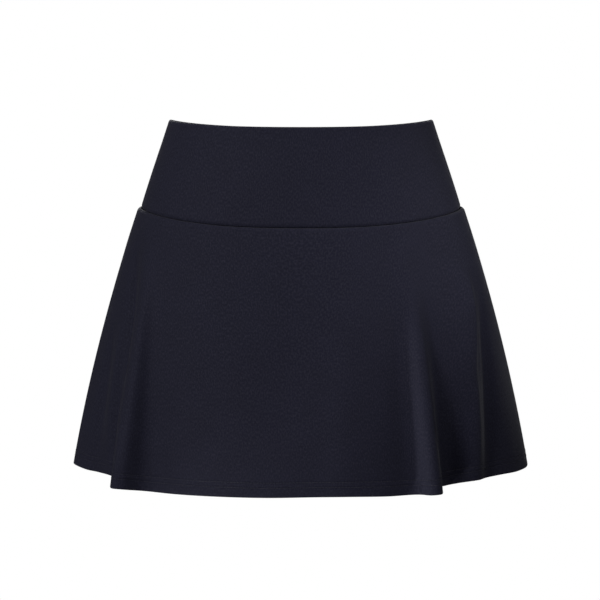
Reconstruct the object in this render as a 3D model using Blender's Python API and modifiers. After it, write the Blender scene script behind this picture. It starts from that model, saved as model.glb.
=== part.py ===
"""Tennis skort: a high-rise pull-on waistband, a flared skirt with a deep flute at each side of
its front, and fitted inner shorts, filled out as they are when worn.

The frame: +Z is up, the front of the garment looks along -Y, and +X is the side that is on the
right when the front is looked at. The origin is the centre of the waist opening at the height
of the top edge at the sides. All the sizes below are in millimetres, and angles in degrees go
round the body from the centre front (0) through the +X side (90) to the centre back (180).
"""
import bmesh
import bpy
import numpy as np

MM = 0.001

# Cloth walls
BAND_WALL = 2.4  # the waistband is folded double
SKIRT_WALL = 1.2
HEM_WALL = 2.2  # the skirt's hem is turned up once
SHORTS_WALL = 1.0
SHORTS_HEM_WALL = 1.8

# Seams
SEAM_GAP = 0.3  # between two pieces that are sewn together
SIDE_SEAM = 96.0  # angle of the side seams, just behind the widest line
EDGE_STRIP = 2.0  # width of the first column beside a side seam

# Waistband
TOP_DIP_FRONT = 5.7  # how far the top edge dips at the centre front
TOP_DIP_BACK = 9.5
TOP_ROLL = 2.6  # roundness of the folded top edge
SEAM_AT_SIDE = 86.0  # height below the top edge of the waistband's lower seam
SEAM_DIP_FRONT = 12.6  # the waistband is a yoke, deeper at the centre front
SEAM_DIP_BACK = 9.5

# Skirt
SHOULDER = 2.7  # the skirt stands out by this from the waistband, over its seam allowance
HEM_TURN = 14.0
HEM_HALF_WIDTH = 229.4  # the hem's even oval, which the flutes are measured from
HEM_FRONT = 145.0
HEM_BACK = 163.0
HEM_SQUARENESS = 2.2
FLARE_BOW = 0.31  # how much the even cone bows out between the seam and the hem
FLUTE_GROWTH = 1.25  # the flutes deepen with this power of the height below their start

# The waistband's cross-sections on a general figure. Height, half width, depth of the front
# half, depth of the back half, and squareness, which is 2 for an ellipse.
BAND_SECTIONS = [
    # height, half_width, front, back, squareness
    (0.0, 129.0, 94.0, 98.0, 2.20),
    (-20.0, 135.7, 96.8, 102.4, 2.23),
    (-40.0, 142.6, 99.7, 106.9, 2.27),
    (-60.0, 149.4, 102.5, 111.3, 2.31),
    (-80.0, 155.9, 105.1, 115.2, 2.35),
    (-100.0, 162.0, 107.3, 118.6, 2.38),
]

# The skirt's hem, one row for each crest, valley or bend of its flutes. The row hangs from the
# angle seam_at on the waistband's seam, and its cloth runs towards the angle oval_at on the
# hem's even oval until it has passed the share "starts" of the height. From there the flute
# grows, and it ends at x, y and z.
HEM_ROWS = [
    # seam_at, oval_at, x, y, z, starts
    (-89.0, -86.0, -227.8, -11.0, -346.2, 0.10),
    (-84.0, -79.0, -214.5, -29.0, -346.4, 0.15),
    (-79.0, -71.5, -202.0, -36.5, -347.2, 0.20),
    (-73.5, -64.0, -187.5, -53.5, -346.4, 0.15),
    (-67.5, -57.6, -175.5, -65.0, -348.4, 0.08),
    (-62.5, -52.8, -176.5, -83.0, -347.0, 0.05),
    (-58.5, -49.0, -180.8, -104.0, -345.2, 0.08),
    (-56.0, -47.5, -177.5, -115.0, -343.3, 0.08),
    (-52.5, -44.5, -169.0, -116.5, -343.8, 0.10),
    (-46.0, -39.0, -150.0, -106.5, -347.9, 0.25),
    (-36.0, -29.3, -118.0, -127.5, -345.4, 0.05),
    (-25.0, -19.8, -84.0, -141.0, -343.9, 0.05),
    (-9.0, -6.5, -31.0, -147.0, -343.8, 0.05),
    (5.0, 3.2, 16.0, -146.0, -343.4, 0.05),
    (14.0, 10.4, 48.0, -144.5, -343.5, 0.05),
    (20.5, 17.5, 80.0, -138.0, -344.8, 0.05),
    (26.0, 22.0, 101.0, -130.0, -345.6, 0.10),
    (30.3, 25.3, 114.5, -131.5, -344.6, 0.10),
    (33.5, 27.6, 124.5, -137.0, -343.2, 0.15),
    (36.0, 29.8, 130.4, -131.0, -343.6, 0.20),
    (37.8, 31.6, 131.8, -119.0, -344.2, 0.24),
    (39.6, 34.0, 132.8, -103.0, -345.8, 0.28),
    (43.4, 38.5, 138.5, -89.0, -347.6, 0.32),
    (49.5, 45.0, 151.0, -84.5, -346.2, 0.36),
    (56.0, 51.5, 164.0, -84.5, -344.0, 0.36),
    (62.0, 56.5, 174.0, -78.0, -344.0, 0.32),
    (67.5, 62.0, 183.0, -64.5, -345.8, 0.28),
    (74.5, 68.6, 197.5, -52.0, -345.8, 0.24),
    (81.0, 75.8, 213.8, -37.0, -346.6, 0.20),
    (87.0, 83.0, 225.5, -20.0, -346.8, 0.10),
    (92.5, 88.8, 229.6, -3.0, -347.6, 0.10),
    (103.0, 101.0, 228.0, 32.0, -347.6, 0.10),
    (113.0, 113.0, 213.0, 66.0, -347.0, 0.10),
    (124.0, 127.0, 184.0, 91.0, -348.6, 0.25),
    (134.0, 138.5, 149.0, 130.0, -346.4, 0.15),
    (143.0, 149.5, 118.0, 138.0, -346.8, 0.15),
    (151.0, 156.0, 98.0, 136.0, -348.2, 0.25),
    (160.0, 165.0, 59.0, 163.0, -346.2, 0.15),
    (169.0, 172.5, 31.0, 158.0, -347.0, 0.15),
    (178.0, 179.2, -3.0, 149.0, -348.0, 0.25),
    (187.0, 186.5, -32.0, 158.0, -347.2, 0.15),
    (196.0, 195.0, -64.0, 168.0, -346.2, 0.15),
    (205.5, 203.5, -93.0, 132.0, -348.6, 0.25),
    (214.0, 210.5, -117.0, 139.0, -346.8, 0.15),
    (222.5, 219.5, -150.0, 135.0, -346.4, 0.15),
    (233.0, 232.0, -182.0, 93.0, -348.4, 0.25),
    (244.0, 244.5, -210.0, 70.0, -347.0, 0.10),
    (254.0, 255.5, -224.5, 44.0, -347.2, 0.10),
    (263.5, 267.0, -230.3, 10.0, -347.6, 0.10),
]

# The shorts' rows, from the seam down. "round" is 0 where the half runs open from the centre
# front to the centre back, and 1 where it has closed round the leg.
SHORTS_ROWS = [
    # round, height_at_side, height_at_centre, half_width, front, back
    (0.00, -120.0, -126.0, 161.0, 105.5, 119.0),
    (0.00, -152.0, -158.0, 162.5, 105.5, 121.5),
    (0.00, -180.0, -190.0, 163.0, 104.0, 122.0),
    (0.10, -196.0, -214.0, 163.0, 103.0, 121.0),
    (0.29, -210.0, -230.0, 163.0, 102.0, 120.0),
    (0.54, -223.0, -242.0, 163.0, 101.0, 119.0),
    (0.80, -236.0, -248.5, 163.0, 100.0, 118.0),
    (1.00, -250.0, -250.0, 163.0, 100.0, 118.0),
]

# The shorts' legs below the crotch.
LEG_ROWS = [
    # height, centre_x, half_x, centre_y, half_y
    (-250.0, 81.0, 80.8, 6.0, 91.0),
    (-264.0, 82.0, 77.5, 5.5, 88.5),
    (-283.0, 83.0, 74.0, 4.0, 84.5),
    (-301.6, 83.8, 72.2, 3.0, 81.0),
    (-302.4, 83.8, 72.1, 3.0, 80.9),
    (-316.0, 84.2, 71.0, 2.5, 79.0),
]
SHORTS_SQUARENESS = 2.25

# Mesh densities
BAND_COLUMNS_FRONT = 32
BAND_COLUMNS_BACK = 30
SKIRT_COLUMNS_FRONT = 70
SKIRT_COLUMNS_BACK = 58
SHORTS_COLUMNS = 29

CLOTH_COLOUR = (0.0119, 0.0119, 0.0270)


def interpolate(xs, ys, x, period=None):
    """Smooth curve through a table: cubic Hermite with the slope of the parabola through each
    point and its two neighbours. ys may have several columns."""
    xs = np.asarray(xs, float)
    ys = np.asarray(ys, float)
    x = np.asarray(x, float)
    if period:
        wrap = 3
        xs = np.concatenate([xs[-wrap:] - period, xs, xs[:wrap] + period])
        ys = np.concatenate([ys[-wrap:], ys, ys[:wrap]])
        x = (x - xs[wrap]) % period + xs[wrap]
    step = np.diff(xs)
    slope = np.diff(ys, axis=0) / (step[:, None] if ys.ndim > 1 else step)
    weight = step[:, None] if ys.ndim > 1 else step
    tangent = np.empty_like(ys)
    tangent[1:-1] = (slope[:-1] * weight[1:] + slope[1:] * weight[:-1]) / (
        weight[:-1] + weight[1:]
    )
    tangent[0] = slope[0]
    tangent[-1] = slope[-1]
    i = np.clip(np.searchsorted(xs, x, side="right") - 1, 0, len(xs) - 2)
    h = step[i]
    t = (x - xs[i]) / h
    if ys.ndim > 1:
        t = t[..., None]
        h = h[..., None]
    return (
        ys[i] * (2 * t**3 - 3 * t**2 + 1)
        + tangent[i] * h * (t**3 - 2 * t**2 + t)
        + ys[i + 1] * (3 * t**2 - 2 * t**3)
        + tangent[i + 1] * h * (t**3 - t**2)
    )


def oval(angle, half_width, front, back, squareness):
    """Point of a rounded oval as x and y, and its shares forward (1 at the centre front) and
    across (1 at the +X side)."""
    a = np.radians(angle)
    power = 2.0 / squareness
    across = np.sign(np.sin(a)) * np.abs(np.sin(a)) ** power
    forward = np.sign(np.cos(a)) * np.abs(np.cos(a)) ** power
    x = half_width * across
    y = -np.where(forward > 0, front, back) * forward
    return x, y, forward, across


def band_point(angle, share):
    """Outer surface of the waistband: share 0 is the top edge and 1 the lower seam."""
    _, _, forward, across = oval(angle, 1.0, 1.0, 1.0, 2.3)
    dip_top = np.where(forward > 0, TOP_DIP_FRONT, TOP_DIP_BACK) * np.abs(forward) ** 1.5
    dip_seam = np.where(forward > 0, SEAM_DIP_FRONT, SEAM_DIP_BACK) * (1 - np.abs(across) ** 2.45)
    top = -dip_top
    seam = -SEAM_AT_SIDE - dip_seam
    z = top + (seam - top) * share
    table = np.array(BAND_SECTIONS)[::-1]
    section = interpolate(table[:, 0], table[:, 1:], z)
    x, y, _, _ = oval(
        angle, section[..., 0], section[..., 1], section[..., 2], section[..., 3]
    )
    below_top = np.maximum(top - z, 0)
    roll = TOP_ROLL - np.sqrt(
        np.maximum(TOP_ROLL**2 - np.maximum(TOP_ROLL - below_top, 0) ** 2, 0)
    )
    size = np.hypot(x, y)
    return np.stack([x * (1 - roll / size), y * (1 - roll / size), z], axis=-1)


def skirt_point(angle, share):
    """Outer surface of the skirt: share 0 is the seam and 1 the hem."""
    seam = band_point(angle, np.ones_like(angle))
    table = np.array(HEM_ROWS)
    table[:, 1] -= table[:, 0]
    hem = interpolate(table[:, 0], table[:, 1:], angle, period=360.0)
    hem[..., 0] += angle
    top_z = seam[..., 2] - SEAM_GAP
    below = (top_z - hem[..., 3]) * share
    shoulder = np.sqrt(
        np.maximum(SHOULDER**2 - np.maximum(SHOULDER - below, 0) ** 2, 0)
    ) * (1 - share)
    size = np.hypot(seam[..., 0], seam[..., 1])
    even_x, even_y, _, _ = oval(
        hem[..., 0], HEM_HALF_WIDTH, HEM_FRONT, HEM_BACK, HEM_SQUARENESS
    )
    flare = share + FLARE_BOW * share * (1 - share)
    starts = hem[..., 4]
    flute = np.maximum((share - starts) / (1 - starts), 0) ** FLUTE_GROWTH
    x = seam[..., 0] * (1 + shoulder / size)
    y = seam[..., 1] * (1 + shoulder / size)
    x = x + (even_x - seam[..., 0]) * flare + (hem[..., 1] - even_x) * flute
    y = y + (even_y - seam[..., 1]) * flare + (hem[..., 2] - even_y) * flute
    return np.stack([x, y, top_z - below], axis=-1)


def side_angles(first, last, count, point):
    """Angles from one side seam to the other, a gap's half away from each seam, with a narrow
    column beside each."""
    span = last - first
    speed_first = np.linalg.norm(
        point(np.array([first + 0.05])) - point(np.array([first])), axis=-1
    )[0] / 0.05
    speed_last = np.linalg.norm(
        point(np.array([last])) - point(np.array([last - 0.05])), axis=-1
    )[0] / 0.05
    start = first + SEAM_GAP / 2 / speed_first
    end = last - SEAM_GAP / 2 / speed_last
    inner = np.linspace(start, end, count - 1)[1:-1]
    edges = [start, start + EDGE_STRIP / speed_first]
    others = [end - EDGE_STRIP / speed_last, end]
    inner = inner[(inner > edges[1] + span / count * 0.4)]
    inner = inner[(inner < others[0] - span / count * 0.4)]
    return np.concatenate([edges, inner, others])


def crowded(angles, centres, count):
    """The same span of angles, set closer together round the given centres."""
    fine = np.linspace(angles[0], angles[-1], 2000)
    density = np.ones_like(fine)
    for centre, width, gain in centres:
        density += gain * np.exp(-(((fine - centre) / width) ** 2))
    total = np.concatenate([[0], np.cumsum((density[1:] + density[:-1]) / 2)])
    return np.interp(np.linspace(0, total[-1], count), total, fine)


def surface(name, rows, collection, outward_flip=False, close_from=None):
    """Mesh object from a grid of points, rows of equal length. From row close_from down, the
    first and the last point of a row are one."""
    rows = np.asarray(rows, float) * MM
    count, width, _ = rows.shape
    bm = bmesh.new()
    verts = [[bm.verts.new(p) for p in row] for row in rows]
    if close_from is not None:
        for row in verts[close_from:]:
            bm.verts.remove(row[-1])
            row[-1] = row[0]
    for i in range(count - 1):
        for j in range(width - 1):
            corners = [
                verts[i][j],
                verts[i + 1][j],
                verts[i + 1][j + 1],
                verts[i][j + 1],
            ]
            unique = []
            for corner in corners:
                if corner not in unique:
                    unique.append(corner)
            if outward_flip:
                unique.reverse()
            if len(unique) > 2:
                bm.faces.new(unique)
    mesh = bpy.data.meshes.new(name)
    bm.to_mesh(mesh)
    bm.free()
    obj = bpy.data.objects.new(name, mesh)
    collection.objects.link(obj)
    mesh.shade_smooth()
    return obj


def thicken(obj, wall, hem_wall=None, hem_points=()):
    """Give the surface its wall, inward. At the numbered points hem_points it is hem_wall."""
    solid = obj.modifiers.new("Wall", "SOLIDIFY")
    solid.offset = -1
    solid.use_even_offset = True
    solid.use_quality_normals = True
    solid.thickness = wall * MM
    if hem_wall:
        group = obj.vertex_groups.new(name="turned_up_hem")
        group.add(list(hem_points), 1.0, "REPLACE")
        solid.thickness = hem_wall * MM
        solid.vertex_group = group.name
        solid.thickness_vertex_group = wall / hem_wall


def cloth(name, colour, roughness):
    material = bpy.data.materials.new(name)
    material.use_nodes = True
    shader = material.node_tree.nodes["Principled BSDF"]
    shader.inputs["Base Color"].default_value = (*colour, 1.0)
    shader.inputs["Roughness"].default_value = roughness
    shader.inputs["Metallic"].default_value = 0.0
    return material


def build_band(name, angles, collection):
    shares = np.array([0.0, 0.006, 0.018, 0.034, 0.27, 0.51, 0.76, 1.0])
    rows = [band_point(angles, np.full_like(angles, s)) for s in shares]
    obj = surface(name, rows, collection)
    thicken(obj, BAND_WALL)
    return obj


def build_skirt(name, angles, collection):
    length = -HEM_ROWS[0][4] - SEAM_AT_SIDE
    turn = 1 - HEM_TURN / length
    shoulder = [0.0, 0.13 * SHOULDER, 0.45 * SHOULDER, SHOULDER]
    shares = [s / length for s in shoulder]
    shares += [0.055, 0.13, 0.225, 0.335, 0.45, 0.565, 0.68, 0.785, 0.875]
    shares += [turn - 0.002, turn + 0.002, 1.0]
    rows = [skirt_point(angles, np.full_like(angles, s)) for s in shares]
    obj = surface(name, rows, collection)
    width = len(angles)
    hem = range((len(shares) - 2) * width, len(shares) * width)
    thicken(obj, SKIRT_WALL, HEM_WALL, hem)
    return obj


def shorts_rows(side, count):
    """Rows of one half of the shorts, side 1 or -1, from the centre front round the side to the
    centre back, and below the crotch round the leg."""
    t = np.linspace(0, 1, count)
    angle = 180.0 * t
    centre = SEAM_GAP / 2
    ends = np.abs(np.cos(np.pi * t)) ** 1.5

    def leg(centre_x, half_x, centre_y, half_y):
        turn = 2 * np.pi * t
        power = 2.0 / 2.15
        x = centre_x - half_x * np.sign(np.cos(turn)) * np.abs(np.cos(turn)) ** power
        y = centre_y - half_y * np.sign(np.sin(turn)) * np.abs(np.sin(turn)) ** power
        return x, y

    rows = []
    top = band_point(angle, np.ones_like(angle))
    size = np.hypot(top[..., 0], top[..., 1])
    inset = 1 - (SKIRT_WALL + SEAM_GAP + 0.2) / size
    rows.append([top[..., 0] * inset, top[..., 1] * inset, top[..., 2] - SEAM_GAP - 0.9])
    crotch = LEG_ROWS[0]
    for closing, z_side, z_centre, width, front, back in SHORTS_ROWS:
        hx, hy, _, _ = oval(angle, width, front, back, SHORTS_SQUARENESS)
        lx, ly = leg(*crotch[1:])
        x = hx * (1 - closing) + lx * closing
        y = hy * (1 - closing) + ly * closing
        z = z_side + (z_centre - z_side) * ends
        rows.append([x, y, z])
    for z, centre_x, half_x, centre_y, half_y in LEG_ROWS[1:]:
        x, y = leg(centre_x, half_x, centre_y, half_y)
        rows.append([x, y, np.full_like(x, z)])
    points = np.array(rows).transpose(0, 2, 1)
    points[..., 0] = side * np.maximum(points[..., 0], centre)
    return points


def build_shorts(name, side, collection):
    rows = shorts_rows(side, SHORTS_COLUMNS)
    crotch_row = len(SHORTS_ROWS)
    obj = surface(name, rows, collection, outward_flip=side < 0, close_from=crotch_row)
    count = len(obj.data.vertices)
    hem = range(count - 2 * (SHORTS_COLUMNS - 1), count)
    thicken(obj, SHORTS_WALL, SHORTS_HEM_WALL, hem)
    return obj


def main():
    for obj in list(bpy.data.objects):
        bpy.data.objects.remove(obj, do_unlink=True)
    collection = bpy.data.collections.new("tennis_skort")
    bpy.context.scene.collection.children.link(collection)

    def on_band(angle):
        return band_point(angle, np.ones_like(angle))

    first = -SIDE_SEAM
    last = SIDE_SEAM
    back_last = 360.0 - SIDE_SEAM
    front = side_angles(first, last, BAND_COLUMNS_FRONT, on_band)
    back = side_angles(last, back_last, BAND_COLUMNS_BACK, on_band)
    pieces = {
        "waistband_front": build_band("waistband_front", front, collection),
        "waistband_back": build_band("waistband_back", back, collection),
    }

    flutes = [(-66.0, 9.0, 1.1), (38.0, 10.0, 1.1)]
    inner = crowded(front[1:-1], flutes, SKIRT_COLUMNS_FRONT - 2)
    front = np.concatenate([front[:1], inner, front[-1:]])
    inner = np.linspace(back[1], back[-2], SKIRT_COLUMNS_BACK - 2)
    back = np.concatenate([back[:1], inner, back[-1:]])
    pieces["skirt_front"] = build_skirt("skirt_front", front, collection)
    pieces["skirt_back"] = build_skirt("skirt_back", back, collection)
    pieces["shorts_right"] = build_shorts("shorts_right", 1, collection)
    pieces["shorts_left"] = build_shorts("shorts_left", -1, collection)

    for name, obj in pieces.items():
        obj.data.materials.append(cloth(name + "_knit", CLOTH_COLOUR, 0.85))


main()
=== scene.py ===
"""Tennis skort, filled out as it is when worn: a wide pull-on waistband folded double, a flared
skirt with a twin-needle hem, and fitted inner shorts, all of one dark navy knit.

+Z is up, the front looks along -Y, and +X is on the right when the front is looked at. Tables
and sizes are in millimetres, and angles in degrees go round the body from the centre front (0)
through the +X side (90) to the centre back (180).
"""
from math import cos, radians, sin

import bpy
import numpy as np
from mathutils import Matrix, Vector


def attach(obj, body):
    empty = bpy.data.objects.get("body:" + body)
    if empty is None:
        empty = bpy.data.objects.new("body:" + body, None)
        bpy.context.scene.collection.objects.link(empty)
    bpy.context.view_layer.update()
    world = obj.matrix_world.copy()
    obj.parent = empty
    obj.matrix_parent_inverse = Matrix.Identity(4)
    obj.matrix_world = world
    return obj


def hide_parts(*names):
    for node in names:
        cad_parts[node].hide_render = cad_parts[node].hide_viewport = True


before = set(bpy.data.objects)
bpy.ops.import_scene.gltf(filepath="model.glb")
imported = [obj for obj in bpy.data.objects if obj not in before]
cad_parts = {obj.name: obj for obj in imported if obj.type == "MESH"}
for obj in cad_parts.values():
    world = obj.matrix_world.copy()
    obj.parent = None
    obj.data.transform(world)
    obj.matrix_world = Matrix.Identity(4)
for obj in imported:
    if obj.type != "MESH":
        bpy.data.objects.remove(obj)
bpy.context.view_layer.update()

MM = 0.001

# Cloth walls
BAND_WALL = 2.4  # the waistband is folded double
SKIRT_WALL = 1.2
HEM_WALL = 2.2  # the skirt's hem is turned up once
SHORTS_WALL = 1.0
SHORTS_HEM_WALL = 1.8
EDGE_STEPS = 3  # rows round each half of a cloth edge

# Seams
SEAM_GAP = 0.3  # between two pieces that are sewn together
SEAM_LAP = 0.55  # how far a front piece's inner surface goes on past its edge, under the back
SIDE_SEAM = 96.0  # angle of the side seams, just behind the widest line

# Waistband
BAND_COLUMNS = 190
BAND_ROWS = 54  # between the rows that crowd at its two edges
TOP_DIP_FRONT = 5.7  # how far the top edge dips at the centre front
TOP_DIP_BACK = 9.5
TOP_DIP_POWER = 1.5
TOP_ROLL = 2.6  # roundness of the folded top edge
SEAM_AT_SIDE = 86.0  # height below the top edge of the waistband's lower seam
SEAM_DIP_FRONT = 12.6  # the waistband is a yoke, deeper at the centre front
SEAM_DIP_BACK = 9.5
SEAM_DIP_POWER = 2.45
DIP_SQUARENESS = 2.3

# Skirt
SKIRT_COLUMNS = 330
SKIRT_ROWS = 72  # between the rows that crowd at its shoulder and its hem
SHOULDER = 2.7  # the skirt stands out by this from the waistband, over its seam allowance
HEM_TURN = 14.0
HEM_HALF_WIDTH = 229.4  # the hem's even oval, which the flutes are measured from
HEM_FRONT = 145.0
HEM_BACK = 163.0
HEM_SQUARENESS = 2.2
FLARE_BOW = 0.31  # how much the even cone bows out between the seam and the hem
FLUTE_GROWTH = 1.25  # the flutes deepen with this power of the height below their start

# Shorts
SHORTS_COLUMNS = 150
SHORTS_ROWS_BETWEEN = 8  # rows of the mesh between two rows of the tables
SHORTS_SQUARENESS = 2.25
LEG_SQUARENESS = 2.15
SHORTS_INSET = 0.2  # from the inside of the skirt, at the waist seam
SHORTS_DROP = 0.9  # from the waistband's lower edge
SHORTS_HEM_TURN = 14.0

# Sewing
NEEDLE_ROWS = (9.6, 14.6)  # height of the hem's two needle rows above its edge
NEEDLE_DIP = 0.22  # depth of the groove along each needle row
NEEDLE_RIDGE = 0.12  # height of the cloth that rises between the two rows
SHORTS_NEEDLE_ROW = 12.0
PATH_LIFT = 0.05  # of the stitches' path, out of the cloth
STITCH_PITCH = 3.0
STITCH_LENGTH = 2.5
THREAD_RADIUS = 0.26

# Colours of the yarn, of the lighter filaments in it and of the sewing thread
YARN = (0.0119, 0.0119, 0.0270)
FILAMENT = (0.033, 0.033, 0.056)
THREAD = (0.017, 0.017, 0.034)

# The waistband's cross-sections. Front and back are the depths of the two halves, and a
# squareness of 2 is an ellipse.
BAND_SECTIONS = [
    # height, half_width, front, back, squareness
    (0.0, 129.0, 94.0, 98.0, 2.20),
    (-20.0, 135.7, 96.8, 102.4, 2.23),
    (-40.0, 142.6, 99.7, 106.9, 2.27),
    (-60.0, 149.4, 102.5, 111.3, 2.31),
    (-80.0, 155.9, 105.1, 115.2, 2.35),
    (-100.0, 162.0, 107.3, 118.6, 2.38),
]

# The skirt's hem, one row for each crest, valley or bend of its flutes. The row hangs from the
# angle seam_at on the waistband's seam, and its cloth runs towards the angle oval_at on the
# hem's even oval until it has passed the share "starts" of the height. From there the flute
# grows, and it ends at x, y and z.
HEM_ROWS = [
    # seam_at, oval_at, x, y, z, starts
    (-89.0, -86.0, -227.8, -11.0, -346.2, 0.10),
    (-84.0, -79.0, -214.5, -29.0, -346.4, 0.15),
    (-79.0, -71.5, -202.0, -36.5, -347.2, 0.20),
    (-73.5, -64.0, -187.5, -53.5, -346.4, 0.15),
    (-67.5, -57.6, -175.5, -65.0, -348.4, 0.08),
    (-62.5, -52.8, -176.5, -83.0, -347.0, 0.05),
    (-58.5, -49.0, -180.8, -104.0, -345.2, 0.08),
    (-56.0, -47.5, -177.5, -115.0, -343.3, 0.08),
    (-52.5, -44.5, -169.0, -116.5, -343.8, 0.10),
    (-46.0, -39.0, -150.0, -106.5, -347.9, 0.25),
    (-36.0, -29.3, -118.0, -127.5, -345.4, 0.05),
    (-25.0, -19.8, -84.0, -141.0, -343.9, 0.05),
    (-9.0, -6.5, -31.0, -147.0, -343.8, 0.05),
    (5.0, 3.2, 16.0, -146.0, -343.4, 0.05),
    (14.0, 10.4, 48.0, -144.5, -343.5, 0.05),
    (20.5, 17.5, 80.0, -138.0, -344.8, 0.05),
    (26.0, 22.0, 101.0, -130.0, -345.6, 0.10),
    (30.3, 25.3, 114.5, -131.5, -344.6, 0.10),
    (33.5, 27.6, 124.5, -137.0, -343.2, 0.15),
    (36.0, 29.8, 130.4, -131.0, -343.6, 0.20),
    (37.8, 31.6, 131.8, -119.0, -344.2, 0.24),
    (39.6, 34.0, 132.8, -103.0, -345.8, 0.28),
    (43.4, 38.5, 138.5, -89.0, -347.6, 0.32),
    (49.5, 45.0, 151.0, -84.5, -346.2, 0.36),
    (56.0, 51.5, 164.0, -84.5, -344.0, 0.36),
    (62.0, 56.5, 174.0, -78.0, -344.0, 0.32),
    (67.5, 62.0, 183.0, -64.5, -345.8, 0.28),
    (74.5, 68.6, 197.5, -52.0, -345.8, 0.24),
    (81.0, 75.8, 213.8, -37.0, -346.6, 0.20),
    (87.0, 83.0, 225.5, -20.0, -346.8, 0.10),
    (92.5, 88.8, 229.6, -3.0, -347.6, 0.10),
    (103.0, 101.0, 228.0, 32.0, -347.6, 0.10),
    (113.0, 113.0, 213.0, 66.0, -347.0, 0.10),
    (124.0, 127.0, 184.0, 91.0, -348.6, 0.25),
    (134.0, 138.5, 149.0, 130.0, -346.4, 0.15),
    (143.0, 149.5, 118.0, 138.0, -346.8, 0.15),
    (151.0, 156.0, 98.0, 136.0, -348.2, 0.25),
    (160.0, 165.0, 59.0, 163.0, -346.2, 0.15),
    (169.0, 172.5, 31.0, 158.0, -347.0, 0.15),
    (178.0, 179.2, -3.0, 149.0, -348.0, 0.25),
    (187.0, 186.5, -32.0, 158.0, -347.2, 0.15),
    (196.0, 195.0, -64.0, 168.0, -346.2, 0.15),
    (205.5, 203.5, -93.0, 132.0, -348.6, 0.25),
    (214.0, 210.5, -117.0, 139.0, -346.8, 0.15),
    (222.5, 219.5, -150.0, 135.0, -346.4, 0.15),
    (233.0, 232.0, -182.0, 93.0, -348.4, 0.25),
    (244.0, 244.5, -210.0, 70.0, -347.0, 0.10),
    (254.0, 255.5, -224.5, 44.0, -347.2, 0.10),
    (263.5, 267.0, -230.3, 10.0, -347.6, 0.10),
]

# The shorts from the waist to the crotch. In each row, "round" is the share by which the half
# has closed to a leg.
SHORTS_ROWS = [
    # round, height_at_side, height_at_centre, half_width, front, back
    (0.00, -120.0, -126.0, 161.0, 105.5, 119.0),
    (0.00, -152.0, -158.0, 162.5, 105.5, 121.5),
    (0.00, -180.0, -190.0, 163.0, 104.0, 122.0),
    (0.10, -196.0, -214.0, 163.0, 103.0, 121.0),
    (0.29, -210.0, -230.0, 163.0, 102.0, 120.0),
    (0.54, -223.0, -242.0, 163.0, 101.0, 119.0),
    (0.80, -236.0, -248.5, 163.0, 100.0, 118.0),
    (1.00, -250.0, -250.0, 163.0, 100.0, 118.0),
]

# The shorts' leg below the crotch
LEG_ROWS = [
    # height, centre_x, half_x, centre_y, half_y
    (-250.0, 81.0, 80.8, 6.0, 91.0),
    (-264.0, 82.0, 77.5, 5.5, 88.5),
    (-283.0, 83.0, 74.0, 4.0, 84.5),
    (-301.6, 83.8, 72.2, 3.0, 81.0),
    (-302.4, 83.8, 72.1, 3.0, 80.9),
    (-316.0, 84.2, 71.0, 2.5, 79.0),
]

# Soft creases in the cloth. Each runs from one place to another on its piece, as an angle and
# a share of the height, and fades in at its start and down to the to_hem share of its height
# at its end. Widths are in degrees, a trough's height is negative, lean is how much wider the
# side of the larger angle is than the other, and a bend above 1 keeps the turn of the path for
# its lower end.
SKIRT_CREASES = [
    # from_angle, from_share, to_angle, to_share, from_width, to_width, lean, height, to_hem, bend
    (25.0, 0.12, 28.0, 1.00, 3.6, 3.4, 1.0, -2.2, 0.3, 1),
    (33.4, 0.14, 34.2, 1.40, 4.6, 3.8, 0.48, 6.4, 0, 3),
    (39.0, 0.22, 40.4, 1.00, 1.8, 2.2, 1.0, -2.4, 0.3, 1),
    (62.0, 0.16, 54.5, 0.66, 8.0, 7.0, 0.35, 5.0, 0, 1),
    (55.0, 0.45, 60.0, 1.00, 7.0, 5.5, 0.50, 4.0, 0.3, 1),
    (69.0, 0.20, 68.0, 1.00, 4.0, 4.5, 1.0, -5.0, 0.3, 1),
    (-68.5, 0.06, -62.0, 0.74, 2.0, 2.0, 2.6, -5.0, 0, 1),
    (-53.0, 0.10, -52.0, 1.05, 1.8, 2.4, 2.4, 4.5, 0, 1),
    (-69.0, 0.30, -75.8, 1.00, 2.4, 2.4, 1.0, 2.6, 0, 1),
    (-76.5, 0.35, -79.8, 1.00, 2.0, 2.4, 1.0, -3.0, 0, 1),
    (12.0, 0.15, 10.0, 0.85, 4.0, 5.0, 1.0, 0.6, 0, 1),
    (-14.0, 0.25, -18.0, 0.95, 5.0, 6.0, 1.0, 0.6, 0, 1),
    (-2.0, 0.30, -4.0, 0.90, 4.0, 5.0, 1.0, -0.5, 0, 1),
    (114.0, 0.34, 117.0, 1.10, 4.0, 4.4, 1.0, 1.6, 0, 1),
    (121.0, 0.18, 127.0, 1.00, 3.6, 4.2, 1.0, -2.8, 0.5, 1),
    (138.5, 0.13, 137.0, 1.30, 4.6, 4.4, 0.5, 4.4, 0, 1),
    (149.5, 0.24, 151.5, 1.00, 2.8, 3.6, 1.0, -3.0, 0.5, 1),
    (163.5, 0.30, 162.0, 1.20, 4.6, 4.4, 1.5, 2.4, 0, 1),
    (176.0, 0.16, 179.0, 1.00, 3.8, 4.0, 1.0, -2.0, 0.6, 1),
    (193.0, 0.36, 196.5, 1.20, 4.6, 4.8, 0.7, 3.0, 0, 1),
    (206.5, 0.15, 205.0, 1.00, 3.0, 3.8, 1.0, -3.4, 0.5, 1),
    (220.0, 0.16, 223.0, 1.30, 4.2, 4.6, 1.8, 4.6, 0, 1),
    (239.0, 0.26, 234.0, 1.00, 3.6, 4.2, 1.0, -2.6, 0.5, 1),
    (250.0, 0.42, 249.0, 1.10, 3.6, 4.0, 1.0, 1.4, 0, 1),
]

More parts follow.
